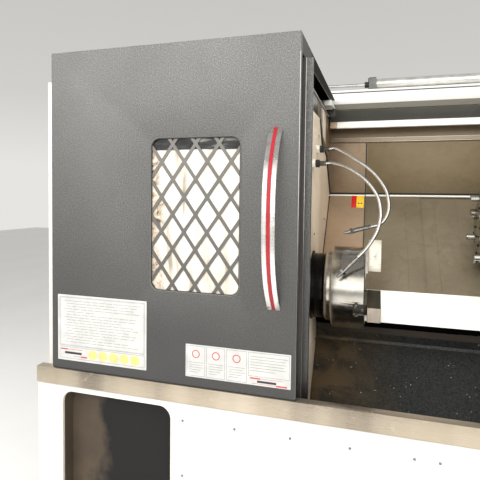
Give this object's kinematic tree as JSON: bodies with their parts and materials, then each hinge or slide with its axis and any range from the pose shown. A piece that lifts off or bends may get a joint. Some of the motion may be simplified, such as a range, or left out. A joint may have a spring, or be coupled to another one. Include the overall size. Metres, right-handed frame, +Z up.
{
  "type": "cnc turning lathe",
  "caption": "Slant bed turning lathe with a sliding L-shaped door, barred window, three-jaw chuck, turret, tailstock, coolant hoses and control panel.",
  "frame": {"origin": "on the floor under the middle of the machine's bounding box", "axes": "+X along the spindle from headstock to tailstock, +Y from the door to the back, +Z up"},
  "size_m": [2.56, 1.504, 2.048],
  "materials": {
    "charcoal_paint": "textured powder coat, dark grey",
    "white_paint": "semi-gloss machine enamel, warm white",
    "black_paint": "satin black",
    "stainless": "brushed stainless sheet",
    "steel": "turned and ground steel",
    "dark_steel": "oiled dark steel",
    "casting": "painted casting",
    "aluminium": "satin aluminium",
    "glass": "safety glass with its film on",
    "rubber": "matt rubber",
    "red_plastic": "gloss red",
    "green_plastic": "gloss green",
    "black_plastic": "matt black",
    "braid": "braided stainless"
  },
  "bodies": {
    "machine": {"base_cabinet": "white_paint", "bed_casting": "casting", "headstock_casting": "casting", "spindle_nose_flange": "black_paint", "guard_plate": "stainless", "bulkhead": "black_paint", "back_wall": "stainless", "slant_cover": "stainless", "lower_way_cover": "stainless", "chip_tray": "dark_steel", "sill_strip": "stainless", "door_rail": "steel", "left_enclosure": "white_paint", "jamb_post": "charcoal_paint", "top_beam": "white_paint", "cylinder_barrel": "aluminium", "cylinder_head": "casting", "right_enclosure": "white_paint", "panel_housing": "charcoal_paint", "rear_cabinet": "white_paint", "spindle_motor": "black_plastic", "drive_belt": "rubber", "hose_fitting_upper": "dark_steel", "hose_fitting_lower": "dark_steel", "coolant_hose_upper": "braid", "coolant_hose_lower": "braid", "coolant_nozzle_upper": "steel", "coolant_nozzle_lower": "steel", "levelling_foot_1": "dark_steel", "levelling_foot_2": "dark_steel", "levelling_foot_3": "dark_steel", "levelling_foot_4": "dark_steel"},
    "door": {"door_shell": "charcoal_paint", "window_guard": "charcoal_paint", "window_glass": "glass", "door_handle": "aluminium", "cylinder_rod": "steel"},
    "roller_left": {"door_roller_left": "steel"},
    "roller_right": {"door_roller_right": "steel"},
    "spindle_unit": {"spindle": "steel", "chuck_adapter": "steel", "chuck_body": "steel", "chuck_cylinder": "dark_steel"},
    "jaw_1": {"chuck_jaw_1": "steel"},
    "jaw_2": {"chuck_jaw_2": "steel"},
    "jaw_3": {"chuck_jaw_3": "steel"},
    "motor_shaft": {"motor_pulley": "dark_steel"},
    "carriage": {"saddle": "casting", "way_cover_2": "stainless"},
    "cover_stage": {"way_cover_1": "stainless"},
    "cross_slide": {"turret_slide": "casting"},
    "turret": {"turret_disc": "steel"},
    "tailstock": {"tailstock_body": "casting"},
    "quill": {"tailstock_quill": "steel"},
    "centre": {"live_centre": "steel"},
    "estop": {"estop_button": "red_plastic"},
    "handwheel": {"pulse_handwheel": "black_plastic"},
    "knob": {"override_knob": "black_plastic"},
    "start_button": {"cycle_start_button": "green_plastic"},
    "rear_door": {"cabinet_door": "white_paint"}
  },
  "joints": [
    {"name": "door_slide", "type": "slide", "parent": "machine", "child": "door", "axis": [1, 0, 0], "range_m": [0, 0.85]},
    {"name": "roller_left_spin", "type": "hinge", "parent": "door", "child": "roller_left", "pos_m": [-1.12, -0.612, 0.82], "axis": [0, 1, 0], "range_deg": [0, 2440]},
    {"name": "roller_right_spin", "type": "hinge", "parent": "door", "child": "roller_right", "pos_m": [-0.42, -0.612, 0.82], "axis": [0, 1, 0], "range_deg": [0, 2440]},
    {"name": "spindle_spin", "type": "hinge", "parent": "machine", "child": "spindle_unit", "pos_m": [-0.22, -0.203, 1.095], "axis": [1, 0, 0], "continuous": true},
    {"name": "jaw_1_slide", "type": "slide", "parent": "spindle_unit", "child": "jaw_1", "axis": [0, 0.1736, 0.9848], "range_m": [-0.0053, 0]},
    {"name": "jaw_2_slide", "type": "slide", "parent": "spindle_unit", "child": "jaw_2", "axis": [0, -0.9397, -0.342], "range_m": [-0.0053, 0]},
    {"name": "jaw_3_slide", "type": "slide", "parent": "spindle_unit", "child": "jaw_3", "axis": [0, 0.766, -0.6428], "range_m": [-0.0053, 0]},
    {"name": "motor_spin", "type": "hinge", "parent": "machine", "child": "motor_shaft", "pos_m": [-0.96, 0.588, 0.93], "axis": [1, 0, 0], "continuous": true},
    {"name": "z_slide", "type": "slide", "parent": "machine", "child": "carriage", "axis": [1, 0, 0], "range_m": [-0.34, 0]},
    {"name": "cover_slide", "type": "slide", "parent": "machine", "child": "cover_stage", "axis": [1, 0, 0], "range_m": [-0.17, 0]},
    {"name": "x_slide", "type": "slide", "parent": "carriage", "child": "cross_slide", "axis": [0, 0.7071, 0.7071], "range_m": [-0.165, 0.04]},
    {"name": "turret_index", "type": "hinge", "parent": "cross_slide", "child": "turret", "pos_m": [0.34, 0.03035, 1.32834], "axis": [1, 0, 0], "continuous": true},
    {"name": "tailstock_slide", "type": "slide", "parent": "machine", "child": "tailstock", "axis": [1, 0, 0], "range_m": [-0.33, 0]},
    {"name": "quill_slide", "type": "slide", "parent": "tailstock", "child": "quill", "axis": [1, 0, 0], "range_m": [-0.08, 0]},
    {"name": "centre_spin", "type": "hinge", "parent": "quill", "child": "centre", "pos_m": [0.82, -0.203, 1.095], "axis": [1, 0, 0], "continuous": true},
    {"name": "estop_press", "type": "slide", "parent": "machine", "child": "estop", "axis": [0, 1, 0], "range_m": [0, 0.005]},
    {"name": "handwheel_turn", "type": "hinge", "parent": "machine", "child": "handwheel", "pos_m": [0.74, -0.742, 1.15], "axis": [0, -1, 0], "continuous": true},
    {"name": "knob_turn", "type": "hinge", "parent": "machine", "child": "knob", "pos_m": [0.9, -0.742, 1.15], "axis": [0, -1, 0], "range_deg": [-140, 140]},
    {"name": "start_press", "type": "slide", "parent": "machine", "child": "start_button", "axis": [0, 1, 0], "range_m": [0, 0.003], "stiffness_N_per_m": 500},
    {"name": "rear_door_hinge", "type": "hinge", "parent": "machine", "child": "rear_door", "pos_m": [1.27, 0.746, 0.82], "axis": [0, 0, -1], "range_deg": [0, 100]}
  ],
  "couplings": [
    {"joint": "roller_left_spin", "follows": "door_slide", "rad_per_m": 50},
    {"joint": "roller_right_spin", "follows": "door_slide", "rad_per_m": 50},
    {"joint": "jaw_2_slide", "follows": "jaw_1_slide", "ratio": 1},
    {"joint": "jaw_3_slide", "follows": "jaw_1_slide", "ratio": 1},
    {"joint": "motor_spin", "follows": "spindle_spin", "ratio": 1.2976},
    {"joint": "cover_slide", "follows": "z_slide", "ratio": 0.5}
  ]
}
